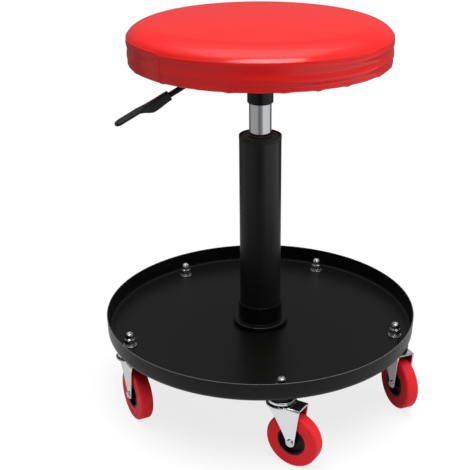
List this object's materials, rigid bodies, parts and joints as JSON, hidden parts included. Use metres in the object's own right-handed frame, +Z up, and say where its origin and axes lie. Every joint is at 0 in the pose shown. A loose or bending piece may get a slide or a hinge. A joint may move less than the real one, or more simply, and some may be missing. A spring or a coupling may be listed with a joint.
{
  "type": "creeper seat",
  "caption": "Rolling workshop stool: round padded seat on a gas-lift column with a height lever, round tool tray with an upstanding rim, on swivel casters.",
  "frame": {"origin": "on the floor, under the column's axis", "axes": "+Z up along the column; the viewer stands at -Y, with +X to the viewer's right"},
  "size_m": [0.4122, 0.4311, 0.506],
  "materials": {
    "black_enamel": "satin black powder coat on pressed steel",
    "black_satin": "smooth satin black powder coat",
    "black_gloss": "gloss black enamel",
    "chrome": "bright plated steel",
    "zinc": "bright zinc plate",
    "bare_steel": "oiled steel",
    "alloy": "turned aluminium",
    "brass_cage": "pressed brass",
    "brass_pin": "turned brass",
    "black_plastic": "fine-grained moulded nylon",
    "black_hub": "moulded black nylon",
    "black_rubber": "black rubber",
    "red_tyre": "smooth red polyurethane",
    "red_vinyl": "glossy red vinyl",
    "foam": "open-cell foam",
    "plywood": "plywood"
  },
  "bodies": {
    "base": {"tray_pan": "black_enamel", "column_socket": "black_gloss", "under_plate": "black_enamel", "ring_nut": "zinc", "column_tube": "black_satin", "column_base": "bare_steel", "guide_bush": "black_plastic", "lower_race": "bare_steel", "ball_cage": "brass_cage", "thrust_balls": "bare_steel", "caster_stems": "zinc", "raceway_cups": "chrome", "swivel_balls": "bare_steel", "flat_washers": "zinc", "lock_washers": "zinc", "cap_nuts": "chrome"},
    "rod": {"piston_rod": "chrome", "piston_head": "alloy", "piston_seal": "black_rubber", "upper_race": "bare_steel", "bump_stop": "black_rubber", "rod_clip": "bare_steel"},
    "seat": {"gas_cylinder": "chrome", "cylinder_gland": "alloy", "valve_body": "alloy", "taper_socket": "black_gloss", "seat_plate": "black_enamel", "lever_bracket": "black_enamel", "pivot_pin": "zinc", "plate_bolts": "zinc", "bolt_washers": "zinc", "tee_nuts": "zinc", "seat_board": "plywood", "foam_pad": "foam", "vinyl_cover": "red_vinyl", "cover_staples": "bare_steel"},
    "lever": {"lever_rod": "black_gloss", "lever_grip": "black_plastic"},
    "valve": {"valve_pin": "brass_pin"},
    "swivel_1": {"fork_1": "chrome", "axle_1": "zinc"},
    "wheel_1": {"hub_1": "black_hub", "tyre_1": "red_tyre"},
    "swivel_2": {"fork_2": "chrome", "axle_2": "zinc"},
    "wheel_2": {"hub_2": "black_hub", "tyre_2": "red_tyre"},
    "swivel_3": {"fork_3": "chrome", "axle_3": "zinc"},
    "wheel_3": {"hub_3": "black_hub", "tyre_3": "red_tyre"},
    "swivel_4": {"fork_4": "chrome", "axle_4": "zinc"},
    "wheel_4": {"hub_4": "black_hub", "tyre_4": "red_tyre"},
    "swivel_5": {"fork_5": "chrome", "axle_5": "zinc"},
    "wheel_5": {"hub_5": "black_hub", "tyre_5": "red_tyre"}
  },
  "joints": [
    {"name": "seat_swivel", "type": "hinge", "parent": "base", "child": "rod", "pos_m": [0, 0, 0.1], "axis": [0, 0, 1], "continuous": true},
    {"name": "seat_lift", "type": "slide", "parent": "rod", "child": "seat", "axis": [0, 0, 1], "range_m": [-0.037, 0.083]},
    {"name": "lever_lift", "type": "hinge", "parent": "seat", "child": "lever", "pos_m": [-0.03234, -0.01051, 0.4435], "axis": [-0.309, 0.9511, 0], "range_deg": [0, 7], "stiffness_Nm_per_rad": 2, "springref_deg": -8.59},
    {"name": "valve_press", "type": "slide", "parent": "seat", "child": "valve", "axis": [0, 0, -1], "range_m": [0, 0.0046]},
    {"name": "caster_swivel_1", "type": "hinge", "parent": "base", "child": "swivel_1", "pos_m": [0.17794, -0.04272, 0.085], "axis": [0, 0, 1], "continuous": true},
    {"name": "wheel_roll_1", "type": "hinge", "parent": "swivel_1", "child": "wheel_1", "pos_m": [0.18532, -0.05969, 0.035], "axis": [0.9171, 0.3987, 0], "continuous": true},
    {"name": "caster_swivel_2", "type": "hinge", "parent": "base", "child": "swivel_2", "pos_m": [0.0845, 0.16232, 0.085], "axis": [0, 0, 1], "continuous": true},
    {"name": "wheel_roll_2", "type": "hinge", "parent": "swivel_2", "child": "wheel_2", "pos_m": [0.08771, 0.18054, 0.035], "axis": [-0.9848, 0.1736, 0], "continuous": true},
    {"name": "caster_swivel_3", "type": "hinge", "parent": "base", "child": "swivel_3", "pos_m": [-0.1114, 0.14518, 0.085], "axis": [0, 0, 1], "continuous": true},
    {"name": "wheel_roll_3", "type": "hinge", "parent": "swivel_3", "child": "wheel_3", "pos_m": [-0.12742, 0.15443, 0.035], "axis": [-0.5, -0.866, 0], "continuous": true},
    {"name": "caster_swivel_4", "type": "hinge", "parent": "base", "child": "swivel_4", "pos_m": [-0.16907, -0.07003, 0.085], "axis": [0, 0, 1], "continuous": true},
    {"name": "wheel_roll_4", "type": "hinge", "parent": "swivel_4", "child": "wheel_4", "pos_m": [-0.16038, -0.08637, 0.035], "axis": [0.8829, 0.4695, 0], "continuous": true},
    {"name": "caster_swivel_5", "type": "hinge", "parent": "base", "child": "swivel_5", "pos_m": [0.02547, -0.18122, 0.085], "axis": [0, 0, 1], "continuous": true},
    {"name": "wheel_roll_5", "type": "hinge", "parent": "swivel_5", "child": "wheel_5", "pos_m": [0.04133, -0.19075, 0.035], "axis": [0.515, 0.8572, 0], "continuous": true}
  ],
  "couplings": [
    {"joint": "valve_press", "follows": "lever_lift", "m_per_rad": 0.037}
  ]
}
